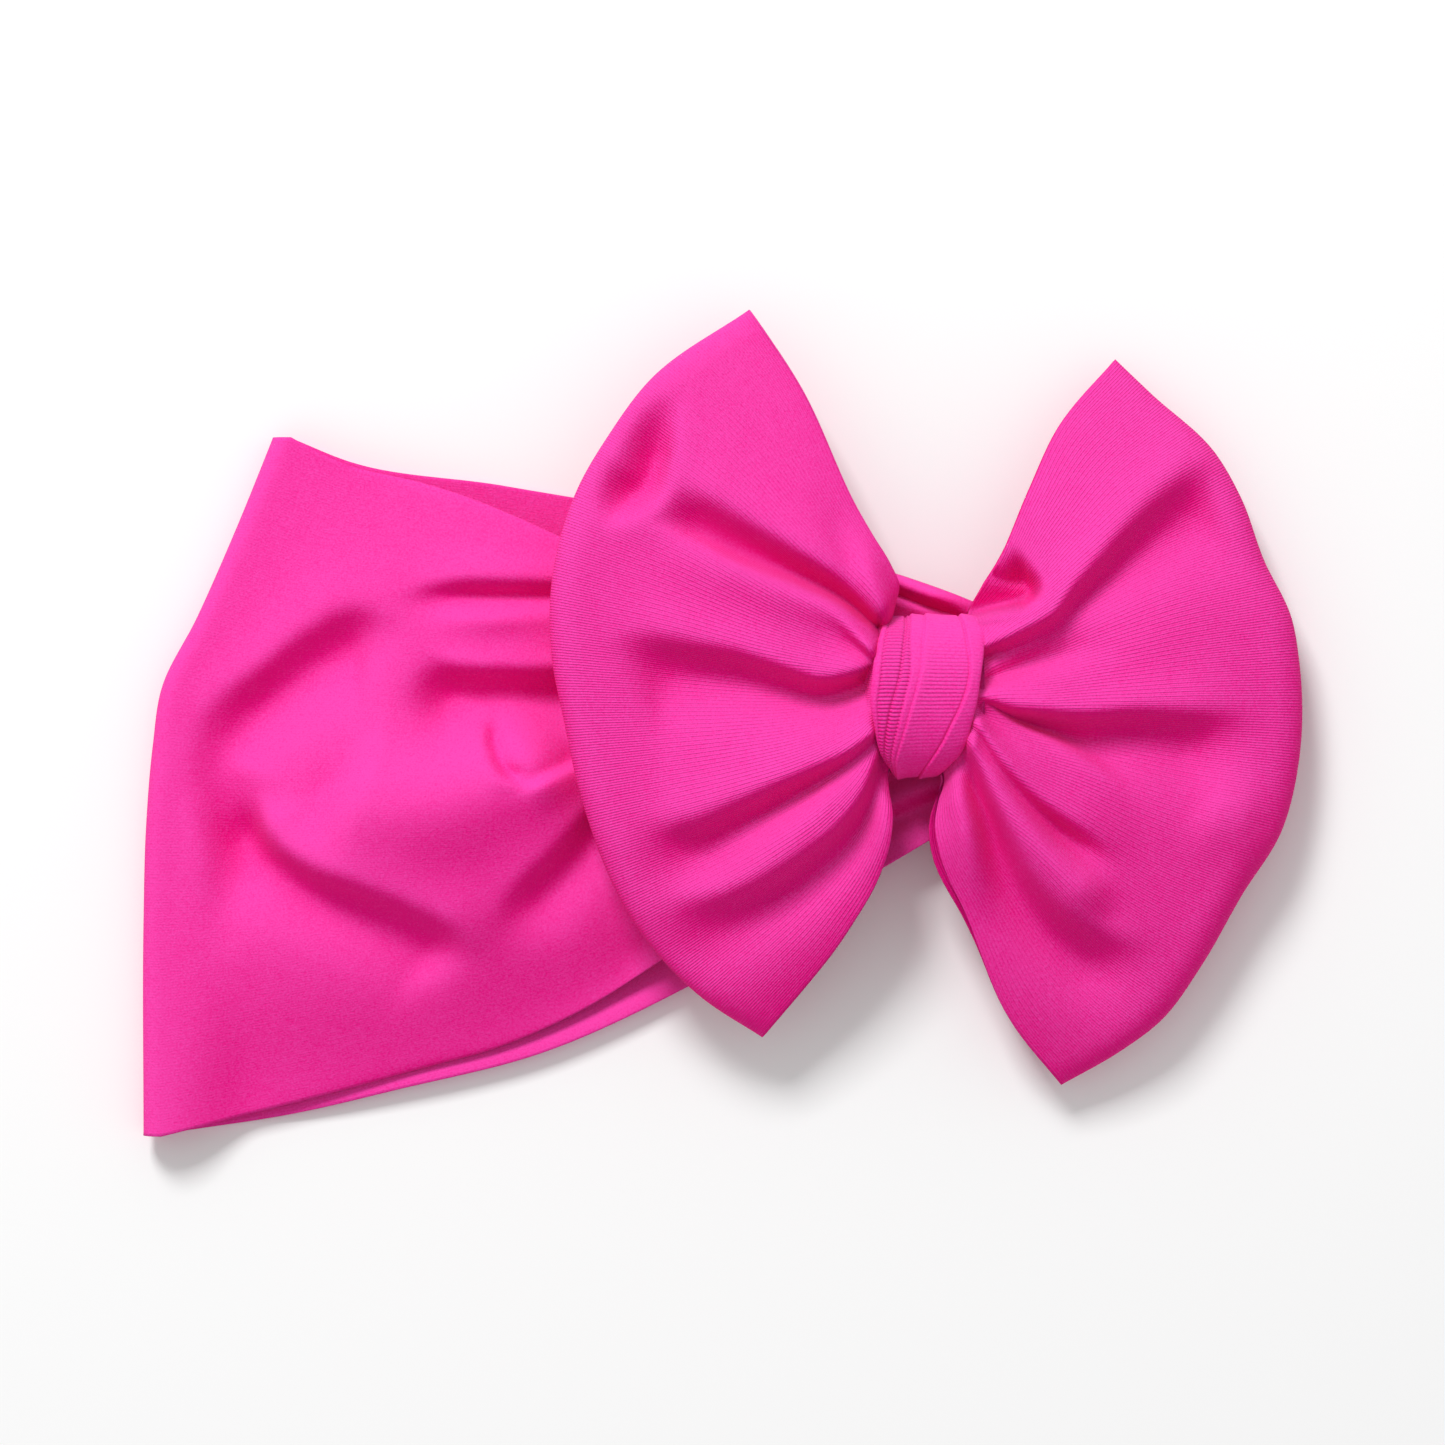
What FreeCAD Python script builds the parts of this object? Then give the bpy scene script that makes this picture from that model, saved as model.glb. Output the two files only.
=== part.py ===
import FreeCAD
import Part

import math
import os

from FreeCAD import Vector

# A stretch-knit head wrap with a large pinched bow, lying flat on a surface. Millimetres.
#
# The band is one strip of cloth, laid double: its back layer lies on the surface, turns over at the
# left fold, comes back as the front layer and is gathered into the knot. Right of the knot it turns
# down to the back layer again, so that it is a loop for a head. The bow is a second strip, folded
# into a flat loop and pinched at its waist, so that a wing stands out on each side. The knot is a
# third strip, wound round the waist and the gather and sewn at the back.
#
# +X points to the right wing, +Y to the top edge of the band and +Z up from the surface.

# Cloth
CLOTH = 0.8            # thickness of one layer
CLEARANCE = 0.3        # left between pieces that move apart

# Knot: an elliptical tube along X round the bow's waist and the band's gather
KNOT_X = (32.1, 55.5)  # its left and right sides, which are the wings' hinge lines too
KNOT_Y = 5.6
KNOT_Z = 17.5
KNOT_HALF_LENGTH = 17.8
KNOT_HALF_HEIGHT = 12.5
KNOT_THICKNESS = 2.6   # of the folded strip
KNOT_PLEATS = 5
KNOT_PLEAT_RISE = 0.5
KNOT_END_DROP = 1.2    # how much lower the strip is at its two sides

# Bundles inside the knot
BUNDLE_PLAY = 0.05
GATHER_TOP = 13.6      # the band's gather is below this, and the bow's waist above it
GATHER_Z = 10.6        # where the band's layers enter the gather
WAIST_Z = 20.5         # where the bow's wings leave the waist
WAIST_HALF_GAP = 5.6   # from there to a wing's front or back layer
TUCK_Y = (-9.5, 20.8)  # the cloth's width where it enters the knot

# Threads
THREAD_RADIUS = 0.35
THREAD_TURNS = 3
THREAD_PITCH = 1.2
THREAD_PLAY = 0.12
GROOVE_WIDTH = 4.4

# Stitches that close the knot at its back
TAIL_THICKNESS = 1.5
TAIL_Y = (-7.0, 9.0)
STITCHES = 5
STITCH_PITCH = 4.0
STITCH_REACH = 2.2
STITCH_RADIUS = 0.3
STITCH_DEPTH = 0.5

# Band outline, seen from above
FOLD_RADIUS = 4.0
FOLD_LINE = [(-121, -89.3), (-121, -43), (-119, -5), (-109.6, 22.3), (-100.9, 42), (-93, 61.5)]
BACK_TOP = [(-93, 61.5), (-48, 51.5), (0, 42.5), (37, 32), (60, 23)]
BACK_BOTTOM = [(-121, -89.3), (-92, -84.7), (-39, -71.6), (-7, -57), (36.4, -30.3), (60, -15)]
FRONT_TOP = [(-93, 61.5), (-63, 51), (-36, 41.5), (0, 33), (KNOT_X[0], TUCK_Y[1])]
FRONT_BOTTOM = [(-121, -89.3), (-85, -80.3), (-48, -70), (-13.5, -51), (KNOT_X[0], TUCK_Y[0])]
TURN_RADIUS = (GATHER_Z - CLOTH / 2) / 2
PUFF = 7.0             # how far the front layer stands up from a straight line, at most
PUFF_END = 0.6         # share of the front layer, from the fold, that puffs up

# Wing outlines, seen from above: the line along the knot from bottom to top, the bottom and top edges
# from the knot outwards, and the outer fold from the bottom tip to the top tip
LEFT_X = KNOT_X[0] - CLEARANCE
LEFT_WAIST = [(34.6, -19), (LEFT_X, -12.6), (31.2, 5.6), (LEFT_X, 23.8), (34, 29)]
LEFT_BOTTOM = [(34.6, -19), (34.6, -26), (27, -44), (8.7, -67.4)]
LEFT_FOLD = [(8.7, -67.4), (-17.5, -44.2), (-29.7, -16.4), (-36, 13.3), (-36.5, 25),
             (-30.4, 50.2), (-15.9, 72.3), (5.9, 88.5)]
LEFT_TOP = [(34, 29), (33.5, 33), (29.3, 44.2), (16.5, 72), (5.9, 88.5)]
RIGHT_X = KNOT_X[1] + CLEARANCE
RIGHT_WAIST = [(49.5, -20), (RIGHT_X, -12.6), (56.4, 5.6), (RIGHT_X, 23.8), (54.8, 26.5)]
RIGHT_BOTTOM = [(49.5, -20), (47.3, -25), (52, -40.2), (73, -78)]
RIGHT_FOLD = [(73, -78), (94.2, -64), (111.4, -37.1), (123, -12), (124.2, 13.5),
              (116.1, 35), (106, 57.6), (84.6, 78.2)]
RIGHT_TOP = [(54.8, 26.5), (59, 34.5), (65.6, 49.6), (84.6, 78.2)]

# Pleats of the wings' front layers and of the band's front layer
PLEATS = 4
WING_PLEAT_RISE = 1.8
BAND_PLEAT_RISE = 1.3


def blend(a, b, share):
    return a + (b - a) * share


def outline(points):
    """A smooth curve through points on the surface, as a function of the share of its length."""
    curve = Part.BSplineCurve()
    curve.interpolate([Vector(x, y, 0) for x, y in points])
    first, last = curve.FirstParameter, curve.LastParameter
    return lambda share: curve.value(blend(first, last, share))


def patch(near, far, low, high):
    """The place seen from above at r, from the near edge to the far one, and t, from low to high."""
    corners = near(0), far(0), near(1), far(1)

    def place(r, t):
        across = near(t) * (1 - r) + far(t) * r
        along = low(r) * (1 - t) + high(r) * t
        flat = (corners[0] * (1 - r) + corners[1] * r) * (1 - t)
        flat += (corners[2] * (1 - r) + corners[3] * r) * t
        return across + along - flat

    return place


def sheet(middle, rows, columns, thickness=CLOTH):
    """A closed solid of that thickness round the surface middle(u, v), with u and v from 0 to 1."""
    step = 1e-4

    def offset(u, v, side):
        u0, v0 = min(u, 1 - step), min(v, 1 - step)
        along = middle(u0 + step, v) - middle(u0, v)
        across = middle(u, v0 + step) - middle(u, v0)
        return middle(u, v) + along.cross(across).normalize() * side * thickness / 2

    skins = []
    for side in (-1, 1):
        skin = Part.BSplineSurface()
        skin.interpolate([[offset(i / rows, j / columns, side) for j in range(columns + 1)]
                          for i in range(rows + 1)])
        skins.append(skin)
    faces = [skin.toShape() for skin in skins]
    for a, b in zip(*(rim(skin) for skin in skins)):
        faces.append(a.makeRuledSurface(b).toShape())
    shell = Part.makeShell(faces)
    shell.sewShape()
    solid = Part.makeSolid(shell)
    if solid.Volume < 0:
        solid.reverse()
    return solid


def rim(skin):
    """The four curves that bound a surface."""
    u0, u1, v0, v1 = skin.bounds()
    return skin.uIso(u0), skin.uIso(u1), skin.vIso(v0), skin.vIso(v1)


# Band

def back_layer():
    """The layer on the surface: flat, so that the part rests on it."""
    end_x = BACK_TOP[-1][0] - CLEARANCE
    top = spline_edge(BACK_TOP[:-1] + [(end_x, BACK_TOP[-1][1])])
    bottom = spline_edge(BACK_BOTTOM[:-1] + [(end_x, BACK_BOTTOM[-1][1])])
    right = Part.makeLine(top.valueAt(top.LastParameter), bottom.valueAt(bottom.LastParameter))
    wire = Part.Wire(Part.__sortEdges__([spline_edge(FOLD_LINE), top, right, bottom]))
    return Part.Face(wire).extrude(Vector(0, 0, CLOTH))


def spline_edge(points):
    curve = Part.BSplineCurve()
    curve.interpolate([Vector(x, y, 0) for x, y in points])
    return curve.toShape()


def left_fold():
    """The half turn from the back layer up to the front layer."""
    line = outline(FOLD_LINE)

    def middle(u, v):
        angle = math.pi * u
        return line(v) + Vector(-FOLD_RADIUS * math.sin(angle), 0,
                                CLOTH / 2 + FOLD_RADIUS * (1 - math.cos(angle)))

    return sheet(middle, 8, 12)


def front_layer():
    """From the left fold to the knot: puffed up near the fold, pleated and narrow at the knot."""
    fold = [(x + CLEARANCE, y) for x, y in FOLD_LINE]
    place = patch(outline(fold), tuck(KNOT_X[0]), outline([fold[0]] + FRONT_BOTTOM[1:]),
                  outline([fold[-1]] + FRONT_TOP[1:]))
    start_z = CLOTH / 2 + 2 * FOLD_RADIUS

    def middle(u, v):
        point = place(u, v)
        puff = PUFF * math.sin(math.pi * min(u / PUFF_END, 1)) ** 2 * math.sin(math.pi * v) ** 0.5
        pleat = BAND_PLEAT_RISE * u ** 4 * (1 - u) * 5 * math.cos(2 * math.pi * PLEATS * v)
        point.z = blend(start_z, GATHER_Z, u) + puff + pleat
        return point

    return sheet(middle, 20, 32)


def tuck(x):
    """The line along which cloth enters the knot at x."""
    return lambda share: Vector(x, blend(TUCK_Y[0], TUCK_Y[1], share), 0)


def right_turn():
    """From the knot's right side down to the back layer."""
    low = BACK_BOTTOM[-1][1], BACK_TOP[-1][1]
    turn_x = BACK_TOP[-1][0]

    def middle(u, v):
        angle = math.pi * min(u / 0.8, 1)
        past = max(0, (u - 0.8) / 0.2)
        y = blend(blend(*low, v), blend(*TUCK_Y, v), u)
        x = turn_x + TURN_RADIUS * math.sin(angle) - past * (turn_x - KNOT_X[1])
        return Vector(x, y, CLOTH / 2 + TURN_RADIUS * (1 - math.cos(angle)))

    return sheet(middle, 15, 6)


# Bow

def wing(waist, low, fold, high, middle_z, front_rise, back_drop, tip_drop):
    """A flat loop of cloth: out from the waist along its back layer, round the outer fold and in again."""
    place = patch(outline(waist), outline(fold), outline(low), outline(high))

    def middle(u, v):
        r, side = math.sin(math.pi * u), -math.cos(math.pi * u)
        edge = (2 * v - 1) ** 4
        swing = math.copysign(abs(side) ** 0.7, side)
        gap = WAIST_HALF_GAP + (front_rise if side > 0 else back_drop) * r
        gap *= 1 - 0.65 * edge * r
        point = place(r, v)
        point.z = middle_z(r) - tip_drop * r * r * edge + gap * swing
        if side > 0:
            ripple = math.cos(2 * math.pi * PLEATS * v) * side
            point.z += WING_PLEAT_RISE * 4 * r * (1 - r) * ripple
        return point

    return sheet(middle, 28, 32)


def left_wing():
    """Rests on the band, with its tips hanging past the band's edges."""
    return wing(LEFT_WAIST, LEFT_BOTTOM, LEFT_FOLD, LEFT_TOP,
                lambda r: WAIST_Z + 1.5 * r, front_rise=4, back_drop=0.5, tip_drop=9)


def right_wing():
    """Hangs from the knot towards the surface."""
    return wing(RIGHT_WAIST, RIGHT_BOTTOM, RIGHT_FOLD, RIGHT_TOP,
                lambda r: WAIST_Z - 11.5 * r ** 1.3, front_rise=5, back_drop=1.5, tip_drop=2.5)


# Knot

def ellipse_face(x, half_y, half_z, centre_z=KNOT_Z):
    curve = Part.Ellipse(Vector(x, KNOT_Y + half_y, centre_z), Vector(x, KNOT_Y, centre_z + half_z),
                         Vector(x, KNOT_Y, centre_z))
    return Part.Face(Part.Wire(curve.toShape()))


def ellipse_prism(x0, x1, half_y, half_z, centre_z=KNOT_Z):
    return ellipse_face(x0, half_y, half_z, centre_z).extrude(Vector(x1 - x0, 0, 0))


INNER_Y = KNOT_HALF_LENGTH - KNOT_THICKNESS
INNER_Z = KNOT_HALF_HEIGHT - KNOT_THICKNESS


def knot_wrap():
    """The strip round the waist, lower at its sides, with its lengthwise pleats as soft ridges."""
    sections = []
    stations = 4 * KNOT_PLEATS
    for i in range(stations + 1):
        share = i / stations
        drop = KNOT_END_DROP * (2 * share - 1) ** 4
        ridge = KNOT_PLEAT_RISE * math.cos(2 * math.pi * KNOT_PLEATS * share) / 2
        rise = ridge - KNOT_PLEAT_RISE / 2 - drop
        face = ellipse_face(blend(*KNOT_X, share), KNOT_HALF_LENGTH + rise, KNOT_HALF_HEIGHT + rise)
        sections.append(face.OuterWire)
    outside = Part.makeLoft(sections, True)
    return outside.cut(ellipse_prism(*KNOT_X, INNER_Y, INNER_Z))


def half_of_bundle(above, groove_half_y, groove_half_z, groove_z):
    """The cloth inside the knot above or below the gather's top, with a neck that its thread pulls in."""
    size = 2 * KNOT_HALF_LENGTH
    low_z = GATHER_TOP if above else GATHER_TOP - size
    half = Part.makeBox(KNOT_X[1] - KNOT_X[0], 2 * size, size - BUNDLE_PLAY,
                        Vector(KNOT_X[0], KNOT_Y - size, low_z + (BUNDLE_PLAY if above else 0)))
    whole = ellipse_prism(*KNOT_X, INNER_Y - BUNDLE_PLAY, INNER_Z - BUNDLE_PLAY).common(half)
    middle_x = sum(KNOT_X) / 2
    x0, x1 = middle_x - GROOVE_WIDTH / 2, middle_x + GROOVE_WIDTH / 2
    slab = Part.makeBox(GROOVE_WIDTH, 2 * size, 2 * size, Vector(x0, KNOT_Y - size, KNOT_Z - size))
    neck = ellipse_prism(x0, x1, groove_half_y, groove_half_z, groove_z)
    return whole.cut(slab).fuse(neck).removeSplitter()


def thread_turns(half_y, half_z, centre_z):
    """Turns of thread that lie side by side round a neck."""
    turns = []
    for i in range(THREAD_TURNS):
        x = sum(KNOT_X) / 2 + (i - (THREAD_TURNS - 1) / 2) * THREAD_PITCH
        reach = THREAD_RADIUS + THREAD_PLAY
        path = ellipse_face(x, half_y + reach, half_z + reach, centre_z).OuterWire
        edge = path.Edges[0]
        start = edge.valueAt(edge.FirstParameter)
        along = edge.tangentAt(edge.FirstParameter)
        ring = Part.Wire(Part.makeCircle(THREAD_RADIUS, start, along))
        turns.append(path.makePipeShell([ring], True, True))
    return Part.makeCompound(turns)


GATHER_NECK = (7.0, 1.8, GATHER_Z)
WAIST_NECK = (12.5, 5.6, WAIST_Z)


def underside(y, thickness):
    """The height of the back of the knot at y, with cloth of that thickness laid over it."""
    share = (y - KNOT_Y) / (KNOT_HALF_LENGTH + thickness)
    return KNOT_Z - (KNOT_HALF_HEIGHT + thickness) * math.sqrt(1 - share ** 2)


def knot_tail():
    """The strip's end, lapped over its first turn at the back of the knot."""
    x0, x1 = KNOT_X[0] + 2, KNOT_X[1] - 2
    outside = ellipse_prism(x0, x1, KNOT_HALF_LENGTH + TAIL_THICKNESS, KNOT_HALF_HEIGHT + TAIL_THICKNESS)
    hollow = ellipse_prism(x0 - 1, x1 + 1, KNOT_HALF_LENGTH, KNOT_HALF_HEIGHT)
    box = Part.makeBox(x1 - x0, TAIL_Y[1] - TAIL_Y[0], KNOT_Z, Vector(x0, TAIL_Y[0], 0))
    return outside.cut(hollow).common(box)


def knot_stitches():
    """Hand stitches across the tail's end."""
    stitches = []
    for i in range(STITCHES):
        x = sum(KNOT_X) / 2 + (i - (STITCHES - 1) / 2) * STITCH_PITCH
        y0, y1 = TAIL_Y[0] - STITCH_REACH, TAIL_Y[0] + STITCH_REACH
        start = Vector(x, y0, underside(y0, -STITCH_DEPTH))
        end = Vector(x + 1, y1, underside(y1, TAIL_THICKNESS))
        rod = Part.makeCylinder(STITCH_RADIUS, (end - start).Length, start, end - start)
        ends = [Part.makeSphere(STITCH_RADIUS, p) for p in (start, end)]
        stitches.append(rod.multiFuse(ends).removeSplitter())
    return Part.makeCompound(stitches)


def main():
    os.makedirs("parts", exist_ok=True)
    nodes = {
        "band_back_layer": back_layer(),
        "band_left_fold": left_fold(),
        "band_front_layer": front_layer(),
        "band_right_turn": right_turn(),
        "band_gather": half_of_bundle(False, *GATHER_NECK),
        "gather_thread": thread_turns(*GATHER_NECK),
        "bow_waist": half_of_bundle(True, *WAIST_NECK),
        "waist_thread": thread_turns(*WAIST_NECK),
        "bow_left_loop": left_wing(),
        "bow_right_loop": right_wing(),
        "knot_wrap": knot_wrap(),
        "knot_tail": knot_tail(),
        "knot_stitches": knot_stitches(),
    }
    box = Part.makeCompound(list(nodes.values())).BoundBox
    print("box", [round(v, 2) for v in (box.XMin, box.XMax, box.YMin, box.YMax, box.ZMin, box.ZMax)])
    for name, shape in nodes.items():
        print(name, "valid", shape.isValid(), "solids", len(shape.Solids), "mm3", round(shape.Volume, 1))
        shape.exportStep(f"parts/{name}.step")


main()
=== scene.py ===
import math

import bpy
import numpy as np
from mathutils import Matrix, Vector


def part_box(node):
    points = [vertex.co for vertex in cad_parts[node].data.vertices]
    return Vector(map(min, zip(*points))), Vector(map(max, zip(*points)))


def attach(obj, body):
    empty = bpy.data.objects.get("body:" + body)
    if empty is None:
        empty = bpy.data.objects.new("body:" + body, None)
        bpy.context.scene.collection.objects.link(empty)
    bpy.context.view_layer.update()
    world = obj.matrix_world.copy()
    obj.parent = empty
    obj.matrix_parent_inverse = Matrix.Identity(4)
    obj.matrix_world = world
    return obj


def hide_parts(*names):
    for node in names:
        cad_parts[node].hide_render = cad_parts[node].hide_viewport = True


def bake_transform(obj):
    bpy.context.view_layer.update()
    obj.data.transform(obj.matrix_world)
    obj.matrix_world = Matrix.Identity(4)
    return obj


# A bow headband of hot-pink stretch knit, laid flat and seen from straight above. Shapes are worked
# out in millimetres, in the CAD's frame: +X to the right wing, +Y to the band's top edge, +Z up.
#
# Each sheet of cloth is a grid of points: a plan between its outlines, then a height at each point,
# from the layer's own rise and from the folds that are listed for it.

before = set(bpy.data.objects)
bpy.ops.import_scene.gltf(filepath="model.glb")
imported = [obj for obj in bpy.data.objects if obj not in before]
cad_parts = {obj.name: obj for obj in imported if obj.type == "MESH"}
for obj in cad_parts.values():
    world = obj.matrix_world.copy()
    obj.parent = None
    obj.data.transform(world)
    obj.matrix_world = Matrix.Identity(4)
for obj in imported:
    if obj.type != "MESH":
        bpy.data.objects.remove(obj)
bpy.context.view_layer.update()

MM = 0.001
CLOTH = 0.7            # thickness of the knit
KNOT_STRIP = 2.6       # thickness of the folded strip that the knot is wound from
TAIL = 1.5             # thickness of the strip's end under the knot


def corners(node):
    """A CAD node's lowest and highest corners, in millimetres."""
    return [np.array(corner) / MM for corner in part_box(node)]


KNOT_LOW, KNOT_HIGH = corners("knot_wrap")
KNOT = (KNOT_LOW + KNOT_HIGH) / 2
KNOT_HALF = (KNOT_HIGH - KNOT_LOW) / 2
MOUTH_HALF = KNOT_HALF - KNOT_STRIP    # half the hole in the knot strip's tube, in Y and Z


# ---------------------------------------------------------------- curves, patches and folds

def smoothstep(x):
    x = np.clip(x, 0, 1)
    return x * x * (3 - 2 * x)


def through(knots, values, x):
    """A smooth curve's values at x, through those values at those knots."""
    knots, values = np.array(knots, float), np.array(values, float)
    slopes = np.gradient(values, knots, axis=0)
    i = np.clip(np.searchsorted(knots, x, side="right") - 1, 0, len(knots) - 2)
    span = knots[i + 1] - knots[i]
    u = np.clip((x - knots[i]) / span, 0, 1)
    if values.ndim > 1:
        u, span = u[..., None], span[..., None]
    return ((1 + 2 * u) * (1 - u) ** 2 * values[i] + u * (1 - u) ** 2 * span * slopes[i]
            + u * u * (3 - 2 * u) * values[i + 1] + u * u * (u - 1) * span * slopes[i + 1])


def lengths(points):
    """How far along the line each point is, in plan."""
    return np.concatenate([[0], np.cumsum(np.linalg.norm(np.diff(points[:, :2], axis=0), axis=1))])


def curve(points, shares):
    """Places at shares of the length of a smooth curve through points."""
    points = np.array(points, float)
    knots = lengths(points)
    line = through(knots, points, np.linspace(0, knots[-1], 60 * len(points)))
    length = lengths(line)
    wanted = np.array(shares) * length[-1]
    return np.stack([np.interp(wanted, length, line[:, k]) for k in range(points.shape[1])], axis=-1)


def patch(near, far, low, high, r, t):
    """The plan of a sheet with those four edges: rows from near to far, columns from low to high."""
    near, far, low, high = curve(near, t), curve(far, t), curve(low, r), curve(high, r)
    r, t = r[:, None, None], t[None, :, None]
    flat = ((1 - r) * (1 - t) * near[0] + r * (1 - t) * far[0]
            + (1 - r) * t * near[-1] + r * t * far[-1])
    return (1 - r) * near[None] + r * far[None] + (1 - t) * low[:, None] + t * high[:, None] - flat


def between(pair, share):
    return pair[0] + (pair[1] - pair[0]) * share


class Fold:
    """A ridge, a valley or a step in a cloth, along a smooth line on it.

    left and right are the heights just beside the line, seen along it. Each fades away over its own
    width, and the cloth falls from the higher to the lower within the crease. Widths and the crease
    grow along the line from their first value to their second. fade_in and fade_out are the shares
    of the line over which the fold rises at its start and dies away at its end. Without a fade_in it
    comes out of the knot, or from under the next piece, with the share START of its height."""

    HEIGHT_UNIT = 1.7      # of left and right, in millimetres
    SAMPLES = 72           # places on the line
    LEAD_IN = 8.0          # how far before its first point a fold without a fade_in starts
    START = 0.7
    BLEND = 0.9            # places on the line this much further away than the nearest count too

    def __init__(self, points, left, right, left_widths, right_widths, crease=0.8,
                 fade_in=0.0, fade_out=0.5):
        self.points, self.left, self.right = points, left, right
        self.left_widths, self.right_widths = left_widths, right_widths
        self.crease = crease if isinstance(crease, tuple) else (crease, crease)
        self.fade_in, self.fade_out = fade_in, fade_out

    def line(self, shares):
        points = self.points
        if not self.fade_in:
            start, then = np.array(points[0]), np.array(points[1])
            back = (start - then) / np.linalg.norm(start - then)
            points = [start + back * self.LEAD_IN, *points]
        return curve(points, shares)

    def nearest(self, xy):
        """Each place's distance from the line, how far it is to its left, and its share along it."""
        shares = np.linspace(0, 1, self.SAMPLES)
        line = self.line(shares)
        along = np.gradient(line, axis=0)
        along /= np.linalg.norm(along, axis=1)[:, None]
        found = []
        for block in np.array_split(xy, max(1, len(xy) // 4000)):
            offset = block[:, None] - line[None]
            distance = np.linalg.norm(offset, axis=2)
            least = distance.min(axis=1, keepdims=True)
            weight = np.exp(-(distance - least) / self.BLEND)
            weight /= weight.sum(axis=1, keepdims=True)
            side = along[:, 0] * offset[..., 1] - along[:, 1] * offset[..., 0]
            found.append(np.stack([least[:, 0], (weight * side).sum(axis=1), weight @ shares], -1))
        return np.concatenate(found).T

    def heights(self, xy):
        distance, side, share = self.nearest(xy.reshape(-1, 2))
        # the step is sharp at its upper edge and runs out softly below
        left_is_low = self.left < self.right
        below = (side if left_is_low else -side) / between(self.crease, share ** 1.4) + 0.6
        below = (below + np.sqrt(below * below + 0.06)) / 2
        low = 1 - np.exp(-1.25 * below)
        mix = low if left_is_low else 1 - low
        height = (mix * self.left * np.exp(-(distance / between(self.left_widths, share)) ** 2)
                  + (1 - mix) * self.right * np.exp(-(distance / between(self.right_widths, share)) ** 2))
        if self.fade_in:
            height *= smoothstep(share / self.fade_in)
        else:
            height *= between((self.START, 1), smoothstep(share / 0.4))
        height *= smoothstep((1 - share) / self.fade_out)
        return self.HEIGHT_UNIT * height.reshape(xy.shape[:-1])


def ridge(points, height, widths, **fades):
    return Fold(points, height, height, widths, widths, **fades)


def folded(xy, folds):
    return sum(fold.heights(xy) for fold in folds)


def softened(grid, passes=3):
    """The grid with each point moved towards its neighbours' mean; its border stays."""
    grid = grid.copy()
    for _ in range(passes):
        inner = (grid[:-2, 1:-1] + grid[2:, 1:-1] + grid[1:-1, :-2] + grid[1:-1, 2:]) / 4
        grid[1:-1, 1:-1] += 0.5 * (inner - grid[1:-1, 1:-1])
    return grid


# ---------------------------------------------------------------- meshes

def neighbours(grid):
    padded = np.pad(grid, 1, mode="edge")
    return (padded[:-2, 1:-1] + padded[2:, 1:-1] + padded[1:-1, :-2] + padded[1:-1, 2:]) / 4


PAINTED_LIGHT_FROM = np.array((-0.30, 0.66, 0.69))    # slopes that face this way, towards the key light, get the palest painted light


def painted_shading(grid):
    """Painted light and shade at each point, from 0 to 1: painted shade in the hollows of the folds, painted
    light on slopes that face the key light.
    """
    along, across = np.gradient(grid, axis=0), np.gradient(grid, axis=1)
    normal = np.cross(along, across)
    normal /= np.maximum(np.linalg.norm(normal, axis=2), 1e-9)[..., None]
    normal *= np.where(np.median(normal[..., 2]) < 0, -1, 1)
    around = grid[..., 2]
    for _ in range(60):
        around = neighbours(around)
    # painted shade where the cloth lies below its surroundings, painted light where it faces the key light
    depth = np.clip(around - grid[..., 2], -1.5, 2.5)
    facing_key = np.clip(normal @ PAINTED_LIGHT_FROM, -0.1, 1) - PAINTED_LIGHT_FROM[2]
    return np.clip(0.68 + 1.25 * facing_key - 0.12 * depth, 0, 1)


def point_attribute(mesh, name, kind, values):
    attribute = mesh.attributes.new(name, kind, "POINT")
    attribute.data.foreach_set("vector" if kind == "FLOAT_VECTOR" else "value",
                               np.asarray(values, np.float32).reshape(-1))


def along_cloth(grid):
    """Each point's place down the cloth and across it, in millimetres, and how much it is gathered.

    Ribs run along the columns. Where the columns are twice as close as at the wide end, the third
    value is 1, where they are four times as close it is 2, and so on."""
    rows, columns = grid.shape[:2]
    down = np.linalg.norm(np.diff(grid, axis=0), axis=2)
    down = np.vstack([np.zeros((1, columns)), np.cumsum(down, axis=0)])
    across = np.linalg.norm(np.diff(grid, axis=1), axis=2)
    across = np.hstack([np.zeros((rows, 1)), np.cumsum(across, axis=1)])
    across -= across[:, columns // 2][:, None]
    spacing = np.gradient(across, axis=1) * (columns - 1)
    for _ in range(12):
        spacing = neighbours(spacing)
    widest = np.percentile(spacing, 90)
    share = np.broadcast_to(np.linspace(0, 1, columns), (rows, columns))
    return np.stack([down, share * widest, np.clip(np.log2(widest / spacing), 0, 4)], -1)


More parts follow.
